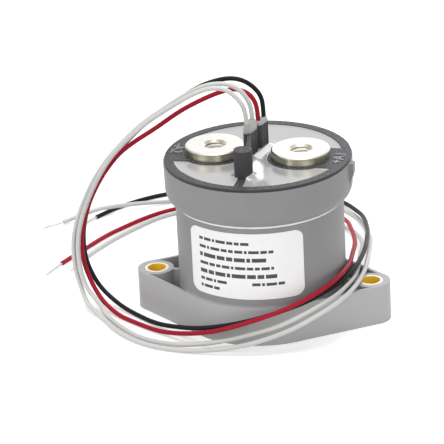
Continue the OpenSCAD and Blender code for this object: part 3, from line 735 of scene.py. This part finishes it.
@dataclass(frozen=True)
class Mark:
    """Raised terminal mark on a land of the header, light grey as a painted highlight of black moulded letters.
    """

    name: str
    words: str
    place: Plan
    turn: float
    height: float = 4.2
    em: float = 1.4
    relief: float = 0.25
    bevel: float = 0.05
    bold: float = 0.02

    def build(self, level: float) -> None:
        """Builds the mark as a mesh that stands on the land.

        Args:
            level: Height of the land, in millimetres.
        """
        curve = bpy.data.curves.new(self.name, "FONT")
        curve.body = self.words
        curve.align_x = "CENTER"
        curve.align_y = "CENTER"
        curve.size = self.height * self.em * MM
        curve.extrude = self.relief / 2 * MM
        curve.bevel_depth = self.bevel * MM
        curve.offset = self.bold * MM
        source = add_object(f"{self.name}_source", curve)
        data = bpy.data.meshes.new_from_object(source)
        bpy.data.objects.remove(source)
        mesh = bmesh.new()
        mesh.from_mesh(data)
        bpy.data.meshes.remove(data)
        place = Vector((*self.place, level + self.relief / 2)) * MM
        mesh.transform(Matrix.Translation(place) @ Matrix.Rotation(self.turn, 4, "Z"))
        new_piece(self.name, mesh, MARKS_HIGHLIGHT, smooth=False)


@dataclass(frozen=True)
class Mound:
    """Mound of sealant over two neighbouring sockets; sag is the share of its height lost between the leads."""

    name: str
    first_socket: int
    sag: float
    levels: tuple[Plan, ...]


@dataclass(frozen=True)
class Header(Assembly):
    """Black moulded cover with its poured resin, terminal marks and the sealant round the leads."""

    nodes: ClassVar[dict[str, Finish]] = {"header": BLACK_MOULDING}
    boss_x: float = 15.8
    boss_r: float = 12.0
    land_half_w: float = 9.5
    pool_r: float = 30.25
    post_y: float = -21.0
    post_r: float = 3.3
    rib_half_w: float = 1.5
    link_half_t: float = 0.6
    link: tuple[Plan, Plan] = ((1.65, -21.0), (-1.7, -4.2))
    sockets: tuple[Plan, ...] = ((-2.4, -4.2), (-1.38, 0.08), (-0.361, 4.36), (0.659, 8.641))
    socket_r: float = 1.45
    pair_half_t: float = 1.3
    web_half_t: float = 0.5
    flange_top: float = 61.3
    tower_top: float = 71.0
    resin_level: float = 60.8
    resin_bottom: float = 57.9
    grid_step: float = 0.3
    overlap: float = 0.25
    wall_rise: float = 0.3
    wall_reach: float = 0.7
    tower_rise: float = 0.9
    tower_reach: float = 0.9
    fillet_rise: float = 1.7
    fillet_reach: float = 2.6
    fillet_power: float = 1.4
    fillet_blend: float = 1.2
    mound_steps: int = 12
    mounds: tuple[Mound, ...] = (
        Mound("sealant_white", 0, 0.3, (
            (1.4, -0.1), (1.55, 0.4), (1.5, 1.2), (1.3, 2.2), (1.1, 3.2), (0.95, 3.8),
        )),
        Mound("sealant_dark", 2, 0.6, ((1.4, -0.1), (1.5, 0.3), (1.3, 0.9), (1.05, 1.4), (0.92, 1.7))),
    )
    marks: tuple[Mark, ...] = (
        Mark("mark_a1", "+A1", (29.8, -0.2), math.radians(90)),
        Mark("mark_a2", "-A2", (-29.9, 1.6), math.radians(-90)),
    )

    @staticmethod
    def slab_distance(x: float, y: float, start: Plan, stop: Plan, half: float) -> float:
        """Measures the distance to a straight wall.

        Args:
            x: Place across, in millimetres.
            y: Place along, in millimetres.
            start: One end of the wall's middle line.
            stop: Its other end.
            half: Half of the wall's thickness.

        Returns:
            The distance in millimetres.
        """
        point, a = Vector((x, y)), Vector(start)
        run = Vector(stop) - a
        share = max(0.0, min(1.0, (point - a).dot(run) / run.length_squared))
        return (point - a - share * run).length - half

    def wall_distance(self, x: float, y: float) -> float:
        """Measures the distance to the nearest low wall: rim, terminal bosses, lands and rib.

        Args:
            x: Place across, in millimetres.
            y: Place along, in millimetres.

        Returns:
            The distance in millimetres.
        """
        rim = self.pool_r - math.hypot(x, y)
        boss = min(math.hypot(x - side * self.boss_x, y) for side in (-1, 1)) - self.boss_r
        land = max(abs(y) - self.land_half_w, self.boss_x - abs(x))
        rib = max(abs(x) - self.rib_half_w, y - self.post_y)
        return min(rim, boss, land, rib)

    def barrier_distance(self, x: float, y: float) -> float:
        """Measures the distance to the barrier: its link wall, lead sockets and the walls between them.

        Args:
            x: Place across, in millimetres.
            y: Place along, in millimetres.

        Returns:
            The distance in millimetres.
        """
        first, second, third, fourth = self.sockets
        walls = (
            (*self.link, self.link_half_t), (first, second, self.pair_half_t),
            (second, third, self.web_half_t), (third, fourth, self.pair_half_t),
        )
        wall = min(self.slab_distance(x, y, *slab) for slab in walls)
        socket = min(math.hypot(x - place[0], y - place[1]) for place in self.sockets) - self.socket_r
        return min(wall, socket)

    def spine_distance(self, x: float, y: float) -> float:
        """Returns the distance to the barrier as one even wall, which the tall fillet follows."""
        row = (self.sockets[0], self.sockets[-1], self.pair_half_t)
        return min(self.slab_distance(x, y, *slab) for slab in ((*self.link, self.link_half_t), row))

    def post_distance(self, x: float, y: float) -> float:
        """Returns the distance to the round post."""
        return math.hypot(x, y - self.post_y) - self.post_r

    def fillet_share(self, x: float, y: float) -> float:
        """Weighs the tall fillet: all of it on the A1 side of the link wall, none on the other side.

        Args:
            x: Place across, in millimetres.
            y: Place along, in millimetres.

        Returns:
            The share of the tall fillet.
        """
        (ax, ay), (bx, by) = self.link
        line = ax + (bx - ax) * max(0.0, min(1.0, (y - ay) / (by - ay)))
        return max(0.0, min(1.0, 0.5 + (x - line) / self.fillet_blend))

    def resin_height(self, x: float, y: float) -> float:
        """Shapes the resin's surface, which climbs whatever stands in it.

        Args:
            x: Place across, in millimetres.
            y: Place along, in millimetres.

        Returns:
            The height of the surface in millimetres.
        """
        wall = max(0.0, self.wall_distance(x, y))
        barrier = max(0.0, self.barrier_distance(x, y))
        spine = max(0.0, self.spine_distance(x, y))
        post = max(0.0, self.post_distance(x, y))
        share = self.fillet_share(x, y)
        low = self.tower_rise * math.exp(-barrier / self.tower_reach)
        tall = self.fillet_rise * math.exp(-((spine / self.fillet_reach) ** self.fillet_power))
        climb = self.wall_rise * math.exp(-wall / self.wall_reach)
        climb += (1 - share) * low + share * tall
        climb += self.tower_rise * math.exp(-post / self.tower_reach)
        return self.resin_level + climb

    def build_resin(self) -> None:
        """Builds the resin and puts it in place of its plain solid."""
        mesh = bmesh.new()
        reach = math.ceil(self.pool_r / self.grid_step) + 1
        grid = {}
        for i in range(-reach, reach + 1):
            for j in range(-reach, reach + 1):
                x, y = i * self.grid_step, j * self.grid_step
                clear = min(self.wall_distance(x, y), self.barrier_distance(x, y), self.post_distance(x, y))
                if clear > -self.overlap:
                    grid[i, j] = mesh.verts.new(Vector((x, y, self.resin_height(x, y))) * MM)
        for (i, j), corner in grid.items():
            others = [grid.get(key) for key in ((i + 1, j), (i + 1, j + 1), (i, j + 1))]
            if all(others):
                mesh.faces.new((corner, *others))
        loose = [vert for vert in mesh.verts if not vert.link_faces]
        bmesh.ops.delete(mesh, geom=loose, context="VERTS")
        below = bmesh.ops.extrude_face_region(mesh, geom=mesh.faces[:])
        for item in below["geom"]:
            if isinstance(item, bmesh.types.BMVert):
                item.co.z = self.resin_bottom * MM
        piece = new_piece("potting_pour", mesh, RESIN)
        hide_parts("potting")

    def build_sealant(self, mound: Mound) -> None:
        """Builds one mound of sealant.

        Args:
            mound: Mound to build.
        """
        start, stop = (Vector(self.sockets[mound.first_socket + k]) for k in range(2))
        run = stop - start
        facing = math.atan2(run.y, run.x)
        mesh = bmesh.new()
        rings = []
        for radius, rise in mound.levels:
            ring = []
            for centre, half_turn in ((stop, 0.0), (start, math.pi)):
                for k in range(self.mound_steps + 1):
                    turn = facing + math.pi * (k / self.mound_steps - 0.5) + half_turn
                    spot = centre + radius * Vector((math.cos(turn), math.sin(turn)))
                    along = abs((spot - (start + stop) / 2).dot(run)) / run.length_squared * 2
                    lift = rise * (1 - mound.sag * max(0.0, 1 - along))
                    ring.append(mesh.verts.new(Vector((spot.x, spot.y, self.tower_top + lift)) * MM))
            rings.append(ring)
        join_rings(mesh, rings)
        new_piece(mound.name, mesh, SEALANT)

    def build(self) -> None:
        """Builds the resin, the sealant and the marks."""
        self.build_resin()
        for mound in self.mounds:
            self.build_sealant(mound)
        for mark in self.marks:
            mark.build(self.flange_top)


@dataclass(frozen=True)
class Terminals(Assembly):
    """Plated power terminals with screw threads in their holes."""

    nodes: ClassVar[dict[str, Finish]] = {
        "terminal_a1": PLATED, "terminal_a2": PLATED,
        "fixed_tip_a1": CONTACT_ALLOY, "fixed_tip_a2": CONTACT_ALLOY,
    }
    x: float = 15.8
    hole_r: float = 3.4
    top: float = 63.6
    bottom: float = 53.0
    pitch: float = 1.25
    depth: float = 0.3
    root_half: float = 0.45
    crest_half: float = 0.07
    run_in: float = 0.5
    steps: int = 48

    def build_thread(self, name: str, x: float) -> None:
        """Builds the ridge of a thread along its helix.

        Args:
            name: Name of the piece.
            x: Place of the axis, in millimetres.
        """
        mesh = bmesh.new()
        turns = (self.top - self.bottom) / self.pitch - 1
        crest = self.hole_r - self.depth
        profile = (
            (self.hole_r, self.root_half), (crest, self.crest_half),
            (crest, -self.crest_half), (self.hole_r, -self.root_half),
        )
        rings = []
        for i in range(int(turns * self.steps) + 1):
            turn = 2 * math.pi * i / self.steps
            z = self.top - self.pitch * (self.run_in + i / self.steps)
            out = Vector((math.cos(turn), math.sin(turn), 0))
            ring = [(Vector((x, 0, z + share * self.pitch)) + out * r) * MM for r, share in profile]
            rings.append([mesh.verts.new(point) for point in ring])
        join_rings(mesh, rings)
        new_piece(name, mesh, THREAD, smooth=False)

    def build(self) -> None:
        """Builds both threads."""
        self.build_thread("thread_a1", self.x)
        self.build_thread("thread_a2", -self.x)


@dataclass(frozen=True)
class Label(Assembly):
    """White label on the body, with plain print: short bars in rows, with no words."""

    nodes: ClassVar[dict[str, Finish]] = {"rating_label": FILM}
    radius: float = 30.47
    lift: float = 0.015
    turn: float = math.radians(1.2)
    gap: float = 0.55
    arc_step: float = 0.8
    widths: tuple[float, ...] = (1.6, 2.7, 0.9, 3.4, 2.1)
    # Level, height of the bars, arc start and arc end of each row.
    rows: tuple[tuple[float, float, float, float], ...] = (
        (39.4, 1.1, -17.5, 3.0),
        (36.3, 1.1, -17.5, 12.0),
        (33.2, 1.5, -17.5, 9.0),
        (30.0, 1.1, -17.5, 15.0),
        (26.9, 1.5, -17.5, 13.0),
        (23.9, 1.1, -17.5, -4.0),
        (23.9, 1.1, 3.0, 16.5),
        (21.2, 1.1, -17.5, -8.0),
    )

    def bars(self) -> list[tuple[float, float, float, float]]:
        """Sets the bars in their rows.

        Returns:
            Arc start, arc end, bottom and top of each bar, in millimetres.
        """
        found = []
        for row, (level, tall, start, stop) in enumerate(self.rows):
            at = start
            for k in count(row):
                wide = tall * self.widths[k % len(self.widths)]
                if at + wide > stop:
                    break
                found.append((at, at + wide, level - tall / 2, level + tall / 2))
                at += wide + self.gap
        return found

    def build(self) -> None:
        """Builds all the bars as one thin printed piece."""
        mesh = bmesh.new()
        for start, stop, low, high in self.bars():
            corners = ((-self.lift, low), (self.lift, low), (self.lift, high), (-self.lift, high))
            steps = max(1, round((stop - start) / self.arc_step))
            rings = []
            for i in range(steps + 1):
                turn = self.turn + (start + (stop - start) * i / steps) / self.radius
                out = Vector((math.sin(turn), -math.cos(turn), 0))
                ring = [(out * (self.radius + lift) + Vector((0, 0, z))) * MM for lift, z in corners]
                rings.append([mesh.verts.new(point) for point in ring])
            join_rings(mesh, rings)
        new_piece("label_bars", mesh, PRINT, smooth=False)


@dataclass(frozen=True)
class Spring:
    """Round-wire compression spring."""

    node: str
    body: str
    joint: str
    wire: float
    turns: int
    travel: float
    fixed_at_top: bool
    steps: int = 28
    sides: int = 12

    def build(self) -> None:
        """Builds the spring in place of its plain solid, between the same two levels."""
        low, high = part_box(self.node)
        wire_r = self.wire / 2 * MM
        reach = high.x - wire_r
        start, stop = low.z + wire_r, high.z - wire_r
        last = self.turns * self.steps
        path = []
        for i in range(last + 1):
            turn = 2 * math.pi * i / self.steps
            level = start + (stop - start) * i / last
            path.append(Vector((reach * math.cos(turn), reach * math.sin(turn), level)))
        mesh = bmesh.new()
        add_tube(mesh, path, [wire_r] * len(path), self.sides)
        piece = new_piece(f"{self.node}_coil", mesh, SPRING_STEEL, body=self.body)
        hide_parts(self.node)
        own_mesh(piece)


@dataclass(frozen=True)
class Drive(Assembly):
    """Mechanism inside the sealed housing: coil, magnetic circuit, contacts and board."""

    springs: tuple[Spring, ...] = (
        Spring("return_spring", "frame", "armature_slide", 0.7, 5, 2.0, fixed_at_top=True),
        Spring("contact_spring", "armature", "bridge_slide", 0.8, 3, 0.5, fixed_at_top=False),
    )
    nodes: ClassVar[dict[str, Finish]] = {
        "yoke_can": SOFT_IRON, "pole_plate": SOFT_IRON, "pole_piece": SOFT_IRON,
        "plunger": SOFT_IRON, "shaft": SOFT_IRON, "spring_seat": SOFT_IRON,
        "retaining_clip": SPRING_STEEL, "guide_sleeve": SLEEVE_BRASS, "fill_tube": BRIDGE_COPPER,
        "bobbin": BOBBIN_NYLON, "coil_winding": ENAMELLED_COPPER,
        "contact_bridge": BRIDGE_COPPER, "bridge_tips": CONTACT_ALLOY,
        "arc_chamber": CERAMIC, "magnet_front": FERRITE, "magnet_rear": FERRITE,
        "circuit_board": LAMINATE, "board_capacitor": COMPONENT, "board_transistor": COMPONENT,
        "board_inductor": COMPONENT, "auxiliary_switch": COMPONENT,
    }

    def build(self) -> None:
        """Builds both springs."""
        for spring in self.springs:
            spring.build()


@dataclass(frozen=True)
class PhotoCamera:
    """Camera at the photograph's viewing angle."""

    azimuth: float = math.radians(15.0989)
    elevation: float = math.radians(23.0577)
    roll: float = math.radians(-2.859)
    target_right: float = -13.922 * MM
    target_up: float = 35.723 * MM
    distance: float = 1015.2 * MM
    focal_px: float = 2812.16
    image_px: float = 444.0
    sensor_mm: float = 36.0

    def build(self) -> None:
        """Builds the camera and makes it the scene's camera."""
        data = bpy.data.cameras.new("photo_camera")
        data.sensor_width = self.sensor_mm
        data.lens = self.focal_px / self.image_px * self.sensor_mm
        camera = add_object("photo_camera", data)
        flat = math.cos(self.elevation)
        back = Vector((math.sin(self.azimuth) * flat, -math.cos(self.azimuth) * flat, math.sin(self.elevation)))
        right = Vector((math.cos(self.azimuth), math.sin(self.azimuth), 0))
        up = back.cross(right)
        across = math.cos(self.roll) * right + math.sin(self.roll) * up
        upward = math.cos(self.roll) * up - math.sin(self.roll) * right
        place = right * self.target_right + Vector((0, 0, self.target_up)) + back * self.distance
        axes = Matrix((across, upward, back)).transposed().to_4x4()
        camera.matrix_world = Matrix.Translation(place) @ axes
        bpy.context.scene.camera = camera


@dataclass(frozen=True)
class SoftLight:
    """One large soft lamp that looks at the object."""

    name: str
    place: Point
    size: float
    power: float
    aim_z: float = 0.04

    def build(self) -> None:
        """Builds the lamp."""
        data = bpy.data.lights.new(self.name, "AREA")
        data.shape = "DISK"
        data.size = self.size
        data.energy = self.power
        lamp = add_object(self.name, data)
        lamp.location = self.place
        aim = Vector((0, 0, self.aim_z)) - lamp.location
        lamp.rotation_euler = aim.to_track_quat("-Z", "Y").to_euler()


@dataclass(frozen=True)
class Studio:
    """White surround and floor, with soft lamps at a plain level."""

    ambient: float = 0.45
    floor_tone: float = 0.8
    floor_glow: float = 0.4
    floor_half: float = 6.0
    lamps: tuple[SoftLight, ...] = (
        SoftLight("overhead", (0.0, 0.05, 0.9), 0.7, 5.3),
        SoftLight("front_left", (-0.7, -0.9, 0.55), 0.7, 3.2),
        SoftLight("front_right", (0.6, -0.95, 0.5), 0.7, 2.6),
        SoftLight("back_right", (0.15, 0.88, 0.44), 0.55, 1.7),
    )

    @staticmethod
    def shown(graph: Graph) -> Socket:
        """Tells what the camera sees, by itself or through gloss and glass, from what only gives light.

        Args:
            graph: Graph to add to.

        Returns:
            A socket that is 1 where the camera sees.
        """
        path = graph.add("ShaderNodeLightPath")
        total = path.outputs["Is Camera Ray"]
        for name in ("Is Glossy Ray", "Is Transmission Ray"):
            both = graph.add("ShaderNodeMath", operation="ADD", use_clamp=True)
            graph.link(total, both.inputs[0])
            graph.link(path.outputs[name], both.inputs[1])
            total = both.outputs["Value"]
        return total

    def choose(self, graph: Graph, plain: Socket, seen: Socket, output: str) -> None:
        """Sends one shader to the output for lighting and another for what the camera sees.

        Args:
            graph: Graph to add to.
            plain: Shader that lights the object.
            seen: Shader that the camera sees.
            output: Node type of the output.
        """
        mix = graph.add("ShaderNodeMixShader")
        graph.link(self.shown(graph), mix.inputs["Fac"])
        graph.link(plain, mix.inputs[1])
        graph.link(seen, mix.inputs[2])
        graph.link(mix.outputs["Shader"], graph.add(output).inputs["Surface"])

    def build_surround(self) -> None:
        """Builds the white surround."""
        world = bpy.data.worlds.new("surround")
        graph = Graph(world)
        sides = []
        for strength in (self.ambient, 1.0):
            side = graph.add("ShaderNodeBackground")
            side.inputs["Color"].default_value = (1.0, 1.0, 1.0, 1.0)
            side.inputs["Strength"].default_value = strength
            sides.append(side.outputs["Background"])
        self.choose(graph, *sides, "ShaderNodeOutputWorld")
        bpy.context.scene.world = world

    def build_floor(self) -> None:
        """Builds the white floor, which keeps the object's shadow."""
        mesh = bmesh.new()
        bmesh.ops.create_grid(mesh, x_segments=1, y_segments=1, size=self.floor_half)
        data = bpy.data.meshes.new("floor")
        mesh.to_mesh(data)
        mesh.free()
        floor = add_object("floor", data)
        paper = bpy.data.materials.new("floor_paper")
        graph = Graph(paper)
        plain = graph.add("ShaderNodeBsdfDiffuse")
        plain.inputs["Color"].default_value = (self.floor_tone,) * 3 + (1.0,)
        glow = graph.add("ShaderNodeEmission")
        glow.inputs["Strength"].default_value = self.floor_glow
        seen = graph.add("ShaderNodeAddShader")
        graph.link(plain.outputs["BSDF"], seen.inputs[0])
        graph.link(glow.outputs["Emission"], seen.inputs[1])
        self.choose(graph, plain.outputs["BSDF"], seen.outputs["Shader"], "ShaderNodeOutputMaterial")
        floor.data.materials.append(paper)

    def build(self) -> None:
        """Builds the surround, the floor and the lamps."""
        bpy.context.scene.view_settings.view_transform = "Standard"
        self.build_surround()
        self.build_floor()
        for lamp in self.lamps:
            lamp.build()


def main() -> None:
    """Builds the camera and the leads first, then everything else."""
    logging.basicConfig(level=logging.INFO)
    PhotoCamera().build()
    for lead in LEADS:
        lead.build()
    parts = (Housing(), Header(), Terminals(), Label(), Drive())
    for part in parts:
        part.dress()
    for part in parts:
        part.build()
    Studio().build()


if __name__ == "__main__":
    main()
